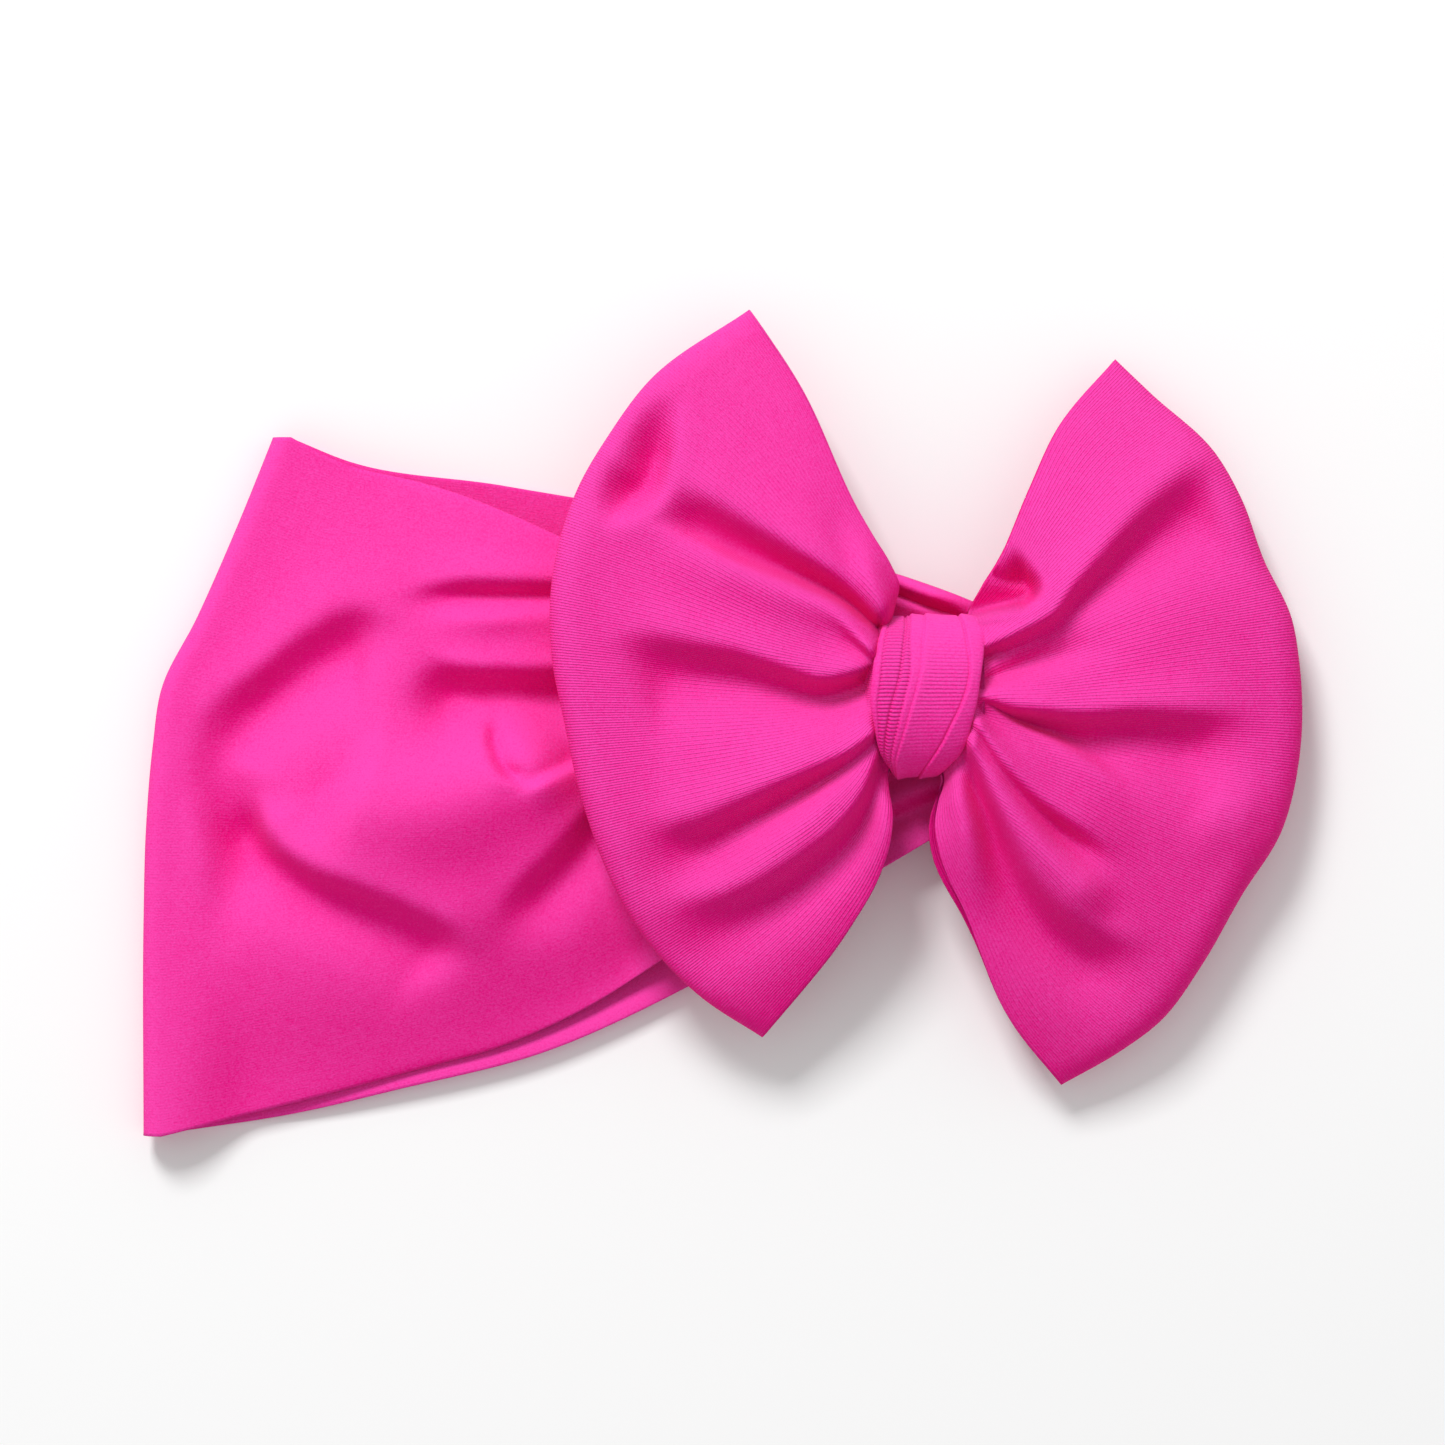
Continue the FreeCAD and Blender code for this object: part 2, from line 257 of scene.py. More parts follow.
def cloth_piece(name, grid, material, body=None, thickness=CLOTH, closed=False,
                ribbed=1.0, painted_shade=None, place=None):
    """A cloth of that thickness round a grid of points, or the grid itself where thickness is 0.

    Its point attributes are cloth, from along_cloth unless place gives it; the painted light and shade,
    worked out from the grid's folds and slopes unless given; and ribbed, how much its ribs show."""
    rows, columns = grid.shape[:2]
    index = np.arange(rows * columns).reshape(rows, columns)
    if closed:
        index = np.vstack([index, index[:1]])
    corner_points = [index[:-1, :-1], index[1:, :-1], index[1:, 1:], index[:-1, 1:]]
    faces = np.stack(corner_points, -1).reshape(-1, 4)
    mesh = bpy.data.meshes.new(name)
    mesh.from_pydata((grid * MM).reshape(-1, 3).tolist(), [], faces.tolist())
    mesh.polygons.foreach_set("use_smooth", np.ones(len(faces), bool))
    point_attribute(mesh, "cloth", "FLOAT_VECTOR", along_cloth(grid) if place is None else place)
    # painted light and shade, which the knit turns into paler and darker pink
    point_attribute(mesh, "painted_shade", "FLOAT", painted_shading(grid) if painted_shade is None else painted_shade)
    point_attribute(mesh, "ribbed", "FLOAT", np.broadcast_to(ribbed, (rows, columns)))
    obj = bpy.data.objects.new(name, mesh)
    bpy.context.scene.collection.objects.link(obj)
    obj.data.materials.append(material)
    if thickness:
        solidify = obj.modifiers.new("thickness", "SOLIDIFY")
        solidify.thickness = thickness * MM
        solidify.offset = 0
        solidify.use_rim = True
        apply_modifiers(obj)
    if body:
        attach(obj, body)
    return obj


def apply_modifiers(obj):
    bpy.context.view_layer.update()
    evaluated = obj.evaluated_get(bpy.context.evaluated_depsgraph_get())
    mesh = bpy.data.meshes.new_from_object(evaluated)
    obj.modifiers.clear()
    obj.data = mesh


# ---------------------------------------------------------------- materials

class Nodes:
    """A short way to add and join shader nodes."""

    def __init__(self, name):
        self.material = bpy.data.materials.new(name)
        self.material.use_nodes = True
        self.tree = self.material.node_tree
        self.shader = self.tree.nodes["Principled BSDF"]

    def add(self, kind, inputs=None, **settings):
        node = self.tree.nodes.new(kind)
        for key, value in settings.items():
            setattr(node, key, value)
        for key, value in (inputs or {}).items():
            self.set(node.inputs[key], value)
        return node

    def set(self, socket, value):
        if isinstance(value, bpy.types.NodeSocket):
            self.tree.links.new(value, socket)
        else:
            socket.default_value = value

    def math(self, operation, a, b=0.0, c=0.0):
        return self.add("ShaderNodeMath", {0: a, 1: b, 2: c}, operation=operation).outputs[0]


# PINK is the knit's colour in painted light and DEEP_PINK its colour in painted shade; the ribs, the nap's
# grain and random patches also move it between the two
PINK = (0.93, 0.055, 0.415, 1)
DEEP_PINK = (0.86, 0.000, 0.235, 1)
NAP_DEPTH = 0.16       # of the brushed fibres, in millimetres


def knit(name, rib_pitch, rib_depth, rib_colour):
    """Brushed stretch knit: fine ribs along the cloth and a nap of short fibres over them.

    rib_pitch and rib_depth are in millimetres, and rib_colour is how far ribs go from DEEP_PINK to
    PINK. A point attribute carries painted light and shade, darker in the folds and on slopes turned from the
    key light, and says where the cloth lies between the two."""
    n = Nodes(name)
    cloth = n.add("ShaderNodeAttribute", attribute_name="cloth").outputs["Vector"]
    # painted light and shade, from 0 in the folds to 1 on slopes towards the key light
    painted_shade = n.add("ShaderNodeAttribute", attribute_name="painted_shade").outputs["Fac"]
    ribbed = n.add("ShaderNodeAttribute", attribute_name="ribbed").outputs["Fac"]
    _, across, level = n.add("ShaderNodeSeparateXYZ", {0: cloth}).outputs
    place = n.add("ShaderNodeTexCoord").outputs["Object"]
    nap = n.add("ShaderNodeTexNoise", {"Vector": place, "Scale": 2300.0, "Detail": 3.0,
                                       "Roughness": 0.65}).outputs["Fac"]
    patches = n.add("ShaderNodeTexNoise", {"Vector": place, "Scale": 300.0,
                                           "Detail": 2.0}).outputs["Fac"]
    # every second rib fades out where the cloth is gathered to half its width, and so on
    octave, fading = n.math("FLOOR", level), n.math("FRACT", level)
    coarse = n.math("POWER", 0.5, octave)
    phase = n.math("MULTIPLY", n.math("MULTIPLY", across, 2 * math.pi / rib_pitch), coarse)
    phase = n.math("MULTIPLY_ADD", patches, 1.5, phase)
    fine_ribs, coarse_ribs = n.math("SINE", phase), n.math("SINE", n.math("MULTIPLY", phase, 0.5))
    ribs = n.math("MULTIPLY_ADD", n.math("SUBTRACT", coarse_ribs, fine_ribs), fading, fine_ribs)
    ribs = n.math("MULTIPLY", ribs, ribbed)
    # the mix starts from the painted light and shade, then the ribs, the nap's grain and random patches are
    # added
    shade_and_ribs = n.math("MULTIPLY_ADD", ribs, rib_colour / 2, painted_shade)
    shade_and_ribs = n.math("MULTIPLY_ADD", n.math("SUBTRACT", nap, 0.5), 1.8, shade_and_ribs)
    shade_and_ribs = n.math("MULTIPLY_ADD", n.math("SUBTRACT", patches, 0.5), 0.25, shade_and_ribs)
    colour = n.add("ShaderNodeMix", {"Factor": shade_and_ribs, "A": DEEP_PINK, "B": PINK},
                   data_type="RGBA", clamp_factor=True)
    n.set(n.shader.inputs["Base Color"], colour.outputs["Result"])
    relief = n.math("MULTIPLY_ADD", ribs, rib_depth / 2, n.math("MULTIPLY", nap, NAP_DEPTH))
    bump = n.add("ShaderNodeBump", {"Height": relief, "Distance": MM})
    n.set(n.shader.inputs["Normal"], bump.outputs[0])
    n.shader.inputs["Roughness"].default_value = 0.8
    n.shader.inputs["Specular IOR Level"].default_value = 0.12
    n.shader.inputs["Sheen Weight"].default_value = 0.05
    n.shader.inputs["Sheen Roughness"].default_value = 0.5
    n.shader.inputs["Sheen Tint"].default_value = (1.0, 0.55, 0.80, 1)
    return n.material


def thread_finish():
    """Twisted polyester thread: fine slanting plies with a slight gloss."""
    n = Nodes("sewing_thread")
    place = n.add("ShaderNodeTexCoord").outputs["Object"]
    plies = n.add("ShaderNodeTexWave", {"Vector": place, "Scale": 900.0, "Distortion": 0.6,
                                        "Detail": 1.0}, bands_direction="DIAGONAL").outputs["Fac"]
    colour = n.add("ShaderNodeMix", {"Factor": plies, "A": (0.80, 0.004, 0.22, 1),
                                     "B": (0.95, 0.03, 0.40, 1)}, data_type="RGBA")
    n.set(n.shader.inputs["Base Color"], colour.outputs["Result"])
    bump = n.add("ShaderNodeBump", {"Height": plies, "Distance": 0.05 * MM})
    n.set(n.shader.inputs["Normal"], bump.outputs[0])
    n.shader.inputs["Roughness"].default_value = 0.45
    return n.material


def plain(name, colour, roughness):
    n = Nodes(name)
    n.shader.inputs["Base Color"].default_value = colour
    n.shader.inputs["Roughness"].default_value = roughness
    return n.material


# ---------------------------------------------------------------- bow

FRONT_ROWS, BACK_ROWS, RIM_ROWS, WING_COLUMNS = 104, 44, 14, 210
WING_LENGTH = 75.0     # from inside the knot to the outer fold, about
RIM = 5.0              # the width over which a wing turns over at its outer fold
SETTLED = 0.30         # share of the wing over which the knot no longer squeezes it
MOUTH_GAP = 0.9        # from the knot's hole to the wing's front layer


def knot_arch(t):
    """Y and Z where a wing's front layer leaves the knot: round the front of the knot's hole."""
    angle = (t - 0.5) * math.radians(158)
    return (KNOT[1] + (MOUTH_HALF[1] - MOUTH_GAP) * np.sin(angle),
            KNOT[2] + (MOUTH_HALF[2] - MOUTH_GAP) * np.cos(angle))


def arch_plan(x):
    return [(x, y) for y in knot_arch(np.linspace(0, 1, 9))[0]]


def rows_to_rim(count):
    """Shares from the knot to the rim: even, then close together round the rim."""
    turn = 1 - (1 - np.cos(np.linspace(0, math.pi / 2, RIM_ROWS))) * RIM / WING_LENGTH
    flat = np.linspace(0, turn[-1], count - RIM_ROWS + 1)[:-1]
    return np.concatenate([flat, turn[::-1]])


def wing(plan, folds, middle_z, rim_half, front_rise, peek=0.0):
    """A grid over the front layer, round the outer fold and back under it to the knot.

    middle_z is the height between the layers, rim_half half the thickness of the loop at its rim,
    front_rise how much higher the front layer stands between knot and rim, and peek how far the back
    layer shows past the front one's lower edge."""
    t = np.linspace(0, 1, WING_COLUMNS)
    edge = (2 * t[None] - 1) ** 4
    half = rim_half * (1 - 0.6 * edge)

    def layer(count):
        r = rows_to_rim(count)
        rr = r[:, None]
        turn = np.sqrt(1 - (1 - np.clip((1 - rr) * WING_LENGTH / RIM, 0, 1)) ** 2)
        return r, rr, patch(*plan, r, t), middle_z(rr, edge), turn, smoothstep(rr / SETTLED)

    r, rr, xy, middle, turn, settled = layer(FRONT_ROWS)
    knot_gap = knot_arch(t)[1][None] - middle_z(0 * rr, edge)
    plateau = half + front_rise * (1 - rr) ** 1.2 * np.sqrt(rr)
    gap = knot_gap * (1 - settled) + plateau * settled
    out_of_knot = smoothstep((rr * WING_LENGTH - 5.5) / 4)
    z = middle + gap * turn + folded(xy, folds) * turn ** 2 * out_of_knot
    front = np.concatenate([xy, z[..., None]], axis=2)

    front_r, front_z = r, z
    r, rr, xy, middle, turn, settled = layer(BACK_ROWS)
    gap = 4.5 * (1 - settled) + half * settled
    z = middle - gap * turn + folded(xy, back_folds(folds)) * turn ** 2
    above = np.stack([np.interp(r, front_r, column) for column in front_z.T], axis=1)
    z = np.minimum(z, above - 2.2 * turn)
    shift = np.exp(-(t / 0.07) ** 2)[None] * np.sin(math.pi * np.clip(rr * 1.6, 0, 1)) ** 2
    xy = xy - np.array([peek, 0]) * shift[..., None]
    back = np.concatenate([xy, z[..., None]], axis=2)
    return np.vstack([front, back[-2::-1]])


def back_folds(folds):
    """The back layer's folds: the front ones, shallower, softer and turned over."""
    return [Fold(f.points, -0.25 * f.left, -0.25 * f.right, f.left_widths, f.right_widths,
                 3.0, f.fade_in, f.fade_out) for f in folds]


# A wing's plan: its edges at the knot, at the rim, at the bottom and at the top.
LEFT_PLAN = (
    arch_plan(KNOT[0] - 2.5),
    [(8.7, -67.4), (-4.8, -58.2), (-17.5, -44.2), (-29.7, -16.4), (-33.5, 0.5), (-36, 13.3), (-36.5, 25),
     (-30.4, 50.2), (-24, 61.2), (-15.9, 72.3), (5.9, 88.5)],
    [(KNOT[0] - 2.5, -8.0), (35.4, -9.2), (35.2, -14), (36.0, -19.5), (35.6, -25), (33.2, -33), (27, -44),
     (8.7, -67.4)],
    [(KNOT[0] - 2.5, 19.3), (36.0, 21.0), (36.6, 25.5), (37.4, 29), (35.6, 33.5), (32, 39.5), (29, 44.8),
     (16.5, 72), (5.9, 88.5)],
)
LEFT_FOLDS = [
    # the top panel falls to the first crease
    Fold([(32.3, 21.8), (24.5, 29.0), (13.5, 35.2), (1.5, 41.3), (-8.6, 46.4), (-13.6, 49)],
         left=-3.8, right=1.4, left_widths=(3, 6), right_widths=(4, 14), crease=(1.4, 8.0), fade_out=0.18),
    # the first ridge's upper edge
    Fold([(33, 19), (25, 25.0), (17.5, 28.6), (4, 34), (-5, 38.5), (-13.5, 42), (-21, 43)],
         left=1.6, right=-1.6, left_widths=(4, 11), right_widths=(3, 4), crease=(0.8, 1.6), fade_out=0.4),
    # the pocket inside the rim
    Fold([(-9, 72), (-11, 63), (-12.2, 55), (-14.5, 49), (-20, 45), (-27.5, 41.5)],
         left=0.8, right=-4.6, left_widths=(6, 7), right_widths=(7.5, 8), crease=(3.0, 3.2),
         fade_in=0.45, fade_out=0.3),
    # fold along the upper edge, near the knot
    ridge([(34, 20.5), (29.5, 27), (25.5, 36), (22.5, 46), (19.5, 56)], -1.0, (1.6, 5), fade_out=0.7),
    ridge([(35, 20), (32, 28), (29, 36), (26, 44)], 1.2, (2, 4), fade_out=0.6),
    # small pleat in the first ridge
    Fold([(33, 12.5), (28.5, 17), (23.5, 21.5), (18, 24.5)],
         left=-1.4, right=1.0, left_widths=(2, 4), right_widths=(2, 3), crease=(0.8, 1.6), fade_out=0.6),
    # the first ridge falls to the second valley
    Fold([(33, 11.6), (26.8, 9.0), (20.6, 7.9), (14.3, 9.4), (3.7, 12.2), (-6.9, 13.6),
          (-17.4, 14.3), (-25, 11)],
         left=-4.3, right=1.8, left_widths=(4, 15), right_widths=(4, 13), crease=(1.2, 8.0), fade_out=0.24),
    # the second ridge falls to the third valley
    Fold([(33.5, -2.0), (26.8, -7.4), (20.2, -11.0), (12.4, -15.0), (3.9, -19.4), (-5.8, -24), (-13, -25.2),
          (-21, -23.5)],
         left=-4.0, right=2.0, left_widths=(3, 12), right_widths=(5, 13), crease=(1.2, 8.0), fade_out=0.24),
    # the finger ridge
    ridge([(34, -4), (26.5, -11.5), (20, -18), (11, -25), (0, -31.5), (-10, -35)], 1.9, (2, 6), fade_out=0.5),
    # the finger falls to the fourth valley
    Fold([(33.6, -7), (30.3, -16), (24.9, -23.6), (17, -30.4), (7.1, -36.7), (-2, -40.3), (-10, -41.5),
          (-18, -39.5)],
         left=-4.0, right=1.6, left_widths=(3, 14), right_widths=(3, 8), crease=(1.4, 8.5), fade_out=0.24),
    # ridge along the lower edge
    ridge([(34.5, -8), (34.5, -18), (33.5, -27), (29, -38)], 1.4, (2, 3.5), fade_out=0.6),
]


def left_middle(r, edge):
    return 20.5 - 0.5 * r - 9.0 * r ** 1.5 * edge


RIGHT_PLAN = (
    arch_plan(KNOT[0] - 0.5),
    [(73, -78), (85.6, -70.6), (94.2, -64), (102.8, -52.2), (111.4, -37.1), (120, -23.2), (123.7, -8.1),
     (123.7, 13.5), (122.2, 22.1), (116.1, 35), (111.4, 48), (106, 57.6), (92.2, 70.7), (84.6, 78.2)],
    [(KNOT[0] - 0.5, -8.0), (46.6, -9.0), (47.6, -12), (46.2, -17), (45.4, -21.5), (46.4, -28), (52, -41),
     (62, -64.2), (73, -78)],
    [(KNOT[0] - 0.5, 19.3), (51.4, 20.6), (53.2, 24), (54.6, 27.2), (59, 34.5), (65.6, 49.6), (72.4, 63.8),
     (84.6, 78.2)],
)
RIGHT_FOLDS = [
    # pocket at the top, near the knot
    Fold([(51, 21.5), (57, 23.2), (61.5, 24.2), (65.4, 25.4), (67.0, 28.2), (65, 32.5), (61.5, 38)],
         left=-5.2, right=0.4, left_widths=(7, 8.5), right_widths=(2.5, 3), crease=(0.7, 1.1), fade_in=0.1,
         fade_out=0.3),
    # the upper panel falls to the first valley
    Fold([(55, 14.6), (64.9, 18.7), (71.1, 22.0), (75.9, 27.3), (81.1, 32.5), (88.2, 39.7), (95.4, 45.9),
          (103, 50.6), (109, 51.5)],
         left=2.0, right=-4.2, left_widths=(3, 11), right_widths=(4, 14), crease=(1.2, 8.5), fade_out=0.16),
    # the first ridge
    ridge([(54, 11), (61, 14), (70, 18.5), (80.5, 24), (91, 29.5), (106, 33)], 1.4, (1.6, 7), fade_out=0.6),
    # the soft second valley
    ridge([(55, 8.5), (66, 13.0), (77, 15), (88, 17)], -1.4, (1.4, 4), fade_out=0.7),
    # the second ridge falls to the third valley
    Fold([(56, 4.2), (61.1, 2.2), (67.7, 1.2), (77.3, 0.1), (88.7, 0.1), (98.2, -0.8),
          (107.8, -2.0), (117, -4.5)],
         left=1.8, right=-4.0, left_widths=(3, 12), right_widths=(4, 16), crease=(1.0, 8.0), fade_out=0.28),
    # the third ridge's upper edge
    Fold([(55, 5), (63, 0), (71, -3.5), (78, -7.5), (85, -13), (90, -20)],
         left=-1.0, right=1.8, left_widths=(2, 4), right_widths=(4, 8), crease=(0.8, 2.0), fade_out=0.5),
    # the third ridge falls to the fourth valley
    Fold([(54.5, -2.5), (59.6, -9.8), (65, -15.8), (71.9, -21.6), (79.3, -27.0), (86, -32.5)],
         left=1.6, right=-3.0, left_widths=(3, 10), right_widths=(2.5, 6), crease=(1.0, 4.0), fade_out=0.35),
    # the finger ridge
    ridge([(53.5, -3), (58, -11), (63, -19), (69, -27.5), (75.5, -35), (80, -39.5), (84, -42)], 2.6, (2, 5.5),
          fade_out=0.2),
    # the finger falls to the fifth valley
    Fold([(52, -6), (57, -17.6), (60.2, -25), (64.4, -33.5), (70.8, -41.5), (78.3, -46.9), (86.8, -50.6),
          (94, -52.5)],
         left=1.8, right=-4.0, left_widths=(3, 7), right_widths=(3, 13), crease=(1.4, 8.0), fade_out=0.22),
    # a low bump inside the rim
    ridge([(100, -18), (108, -20), (117, -22)], 1.2, (8, 8), fade_in=0.4, fade_out=0.4),
    # ridge along the lower edge
    ridge([(51, -8), (50.5, -14), (52, -21), (54.5, -34), (57, -44)], 1.8, (2.2, 4), fade_out=0.5),
]


def right_middle(r, edge):
    return 20.5 - 10.0 * r ** 1.2 - 4.0 * r ** 1.5 * edge


# ---------------------------------------------------------------- knot

# The front, from its top at -1 to its bottom at 1: where its middle is in X, and half its width.
KNOT_HEIGHTS = (-1.0, -0.92, -0.6, -0.25, 0.08, 0.38, 0.6, 0.78, 0.9, 1.0)
KNOT_CENTRES = (44.8, 44.8, 43.9, 43.1, 42.5, 42.3, 42.2, 41.9, 41.6, 41.3)
KNOT_WIDTHS = (10.3, 10.8, 11.5, 11.5, 11.3, 10.3, 9.5, 8.2, 6.6, 5.2)
KNOT_BACK_WIDTH = 8.6
# Each crease between the strip's pleats: how far across it is at each of these heights, from -1 to 1,
# then the step up to its right, or to its left where that is negative, and how deep its groove is.
CREASE_HEIGHTS = (-1.0, -0.88, -0.25, 0.53, 0.87, 1.0)
KNOT_CREASES = [
    ((-0.90, -0.89, -0.84, -0.94, -1.02, -1.1), -0.35, 0.35),
    ((-0.56, -0.53, -0.49, -0.79, -0.94, -1.0), 0.15, 0.55),
    ((-0.47, -0.44, -0.305, -0.59, -0.80, -0.88), 0.45, 0.30),
    ((-0.16, -0.157, -0.112, -0.44, -0.70, -0.80), 0.50, 0.20),
    ((0.55, 0.59, 0.79, 0.467, 0.21, 0.10), 0.55, 0.45),
]


def knot_face(angle):
    """How much of a row of the knot strip belongs to the front: 1 there, 0 at the back."""
    return smoothstep((np.cos(angle) + 0.75) / 0.75)


def knot_pleats(w, angle):
    """The strip's overlapping pleats, and how much the ribs show on each."""
    height = -np.sin(angle)
    rise = np.zeros_like(w * angle)
    creases = [through(CREASE_HEIGHTS, across, height[:, 0])[:, None] for across, _, _ in KNOT_CREASES]
    for crease, (_, step, groove) in zip(creases, KNOT_CREASES):
        beyond = (w - crease) * KNOT_HALF[0]
        onto = beyond if step > 0 else -beyond      # how far onto the higher pleat
        rise += abs(step) * smoothstep(onto / 0.5 + 0.5) * np.exp(-np.clip(onto, 0, None) / 3.2)
        rise -= groove * np.exp(-(beyond / 0.38) ** 2)
    # the narrow pleats at the left are the cloth's ribbed face, and the wide one's middle shows it too
    ribbed = np.where((w > creases[0]) & (w < creases[2]), 1.7, 0.35)
    wide = smoothstep((w - creases[3]) / 0.2) * smoothstep((creases[4] - w) / 0.1)
    ribbed += 0.7 * wide * np.exp(-((height + 0.15) / 0.45) ** 2)
    return rise * knot_face(angle), ribbed


def knot_grid():
    """The knot strip's tube: rows round it from its back, columns over its outside and back inside.

    Returns the grid, how much its ribs show, its painted light and shade, and its place round the knot."""
    rows, outside, inside = 260, 150, 16
    angle = np.linspace(-math.pi, math.pi, rows, endpoint=False)[:, None]
    height = -np.sin(angle)[:, 0]
    face = knot_face(angle)
    half = face * through(KNOT_HEIGHTS, KNOT_WIDTHS, height)[:, None] + (1 - face) * KNOT_BACK_WIDTH
    centre = face * through(KNOT_HEIGHTS, KNOT_CENTRES, height)[:, None] + (1 - face) * KNOT[0]
    w = np.linspace(-1, 1, outside)[None]
    rise, ribbed = knot_pleats(w, angle)
    edge = (1 - np.abs(w) ** 7) ** 0.5
    depth = -1.5 * (1 - edge) + (rise - 0.55) * edge
    outer = np.stack([centre + w * half, KNOT[1] + (KNOT_HALF[1] + depth) * np.sin(angle),
                      KNOT[2] + (KNOT_HALF[2] + depth) * np.cos(angle)], -1)
    w = np.linspace(1, -1, inside)[None]
    mouth = MOUTH_HALF[:, None] + 0.2 + 0 * w
    inner = np.stack([centre + w * (half - 0.4), KNOT[1] + mouth[1] * np.sin(angle),
                      KNOT[2] + mouth[2] * np.cos(angle)], -1)
    grid = np.concatenate([outer, inner, outer[:, :1]], axis=1)
    ribbed = np.concatenate([ribbed, np.full((rows, inside), 0.3), ribbed[:, :1]], axis=1)
    # painted light and shade: paler on the face towards the key light at the knot's top, darker towards its
    # bottom and at the strip's rolled edges, paler on raised pleats and darker in their grooves; painted
    # shade inside the tube
    painted_shade = 0.55 + 0.42 * np.sin(angle + 0.35) * face - 0.25 * (1 - edge) + 0.20 * rise
    painted_shade = np.clip(np.concatenate([painted_shade, np.full((rows, inside), 0.1), painted_shade[:, :1]], axis=1), 0, 1)
    middle = grid[:, outside // 2]
    steps = np.linalg.norm(middle - np.roll(middle, 1, axis=0), axis=1)
    place = np.zeros_like(grid)
    place[..., 1] = np.cumsum(steps)[:, None]
    return grid, ribbed, painted_shade, place


def bundle(name, node, material, pleats, seed):
    """Gathered cloth inside the knot, where its CAD solid is: pleats of several sizes along X."""
    low, high = corners(node)
    middle, half = (low + high) / 2, (high - low) / 2
    random = np.random.default_rng(seed)
    rows = 160
    angle = np.linspace(0, 2 * math.pi, rows, endpoint=False)[:, None]
    u = np.linspace(-1, 1, 40)[None]
    ripple = np.zeros_like(angle * u)
    for count in pleats:
        phase = random.uniform(0, 2 * math.pi)
        ripple += np.cos(count * angle + phase + 0.5 * u) / len(pleats)
    depth = 0.76 + 0.07 * ripple - 0.12 * (1 - u ** 2)
    grid = np.stack([middle[0] + half[0] * u + 0 * angle, middle[1] + half[1] * depth * np.sin(angle),
                     middle[2] + half[2] * depth * np.cos(angle)], -1)
    ends = [np.broadcast_to(middle + np.array([side * half[0], 0, 0]), (rows, 1, 3)) for side in (-1, 1)]
    grid = np.concatenate([ends[0], grid, ends[1]], axis=1)
    # an even painted shade, darker than the open cloth, for cloth inside the knot
    obj = cloth_piece(name, grid, material, "band_front", thickness=0, closed=True,
                      painted_shade=np.full(grid.shape[:2], 0.3))
    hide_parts(node)


def rounded(x):
    """A sine or cosine made squarer, for a section that is a rectangle with round corners."""
    return np.sign(x) * np.abs(x) ** 0.35


def tail(material):
    """The knot strip's last turn, laid flat under the knot and stitched down."""
    low, high = corners("knot_tail")
    rows, columns = 90, 60
    middle, half = (low + high) / 2, (high - low) / 2
    y = np.linspace(low[1], high[1], rows)[:, None]
    angle = np.linspace(-math.pi, math.pi, columns, endpoint=False)[None]
    share = (y - middle[1]) / half[1]
    end = (1 - np.abs(share) ** 10) ** 0.5      # it thins at its two ends
    centre = low[2] + 1.2 + (high[2] - low[2] - 2.4) * share ** 2
    x = middle[0] + half[0] * rounded(np.sin(angle)) * (0.96 + 0.04 * end)
    z = centre + 1.15 * end * rounded(np.cos(angle)) * (1 - 0.12 * np.cos(5 * angle))
    grid = np.stack([x + 0 * y, y + 0 * x, z], -1)
    grid = np.concatenate([grid, grid[:, :1]], axis=1)
    ends = [np.broadcast_to(grid[i].mean(0), (1, columns + 1, 3)) for i in (0, -1)]
    grid = np.concatenate([ends[0], grid, ends[1]], axis=0)
    # an even painted shade for the strip's end under the knot
    obj = cloth_piece("knot_strip_tail", grid, material, "band_front", thickness=0,
                      ribbed=1.2, painted_shade=np.full(grid.shape[:2], 0.55))
    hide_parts("knot_tail")


# ---------------------------------------------------------------- band

BAND_COLUMNS = 190
FOLD_RADIUS = 4.0      # of the half turn at the left
TUCK_X, TUCK_Y = KNOT_LOW[0] + 5, (-7, 17)      # where the front layer ends, inside the knot
TURN_X = 62            # where the back layer turns up at the right
FOLD_LINE = [(-121, -89.3), (-121, -43), (-120.5, -23.4), (-119, -5), (-117.2, 7), (-109.6, 22.3),
             (-100.9, 42), (-93, 61.5)]
FRONT_LOW = [(-121, -89.3), (-85.3, -80.3), (-65.8, -74.9), (-48.4, -70.1), (-29.9, -61.9),
             (-13.6, -51.6), (10, -33), (TUCK_X, TUCK_Y[0])]
FRONT_HIGH = [(-93, 61.5), (-87.5, 58.5), (-82.1, 56.0), (-63.6, 51.2), (-54.9, 48.4), (-44, 44),
              (-34, 39.5), (0, 31), (TUCK_X, TUCK_Y[1])]
BACK_LOW = [(-121, -89.3), (-92, -84.7), (-70, -79.5), (-39, -71.6), (-7, -57), (36.4, -30.3),
            (TURN_X, -15)]
BACK_HIGH = [(-93, 61.5), (-82, 57), (-48, 51.5), (0, 42.5), (37, 32), (TURN_X, 23)]
GATHER_Z = 10.6        # where both layers enter the knot

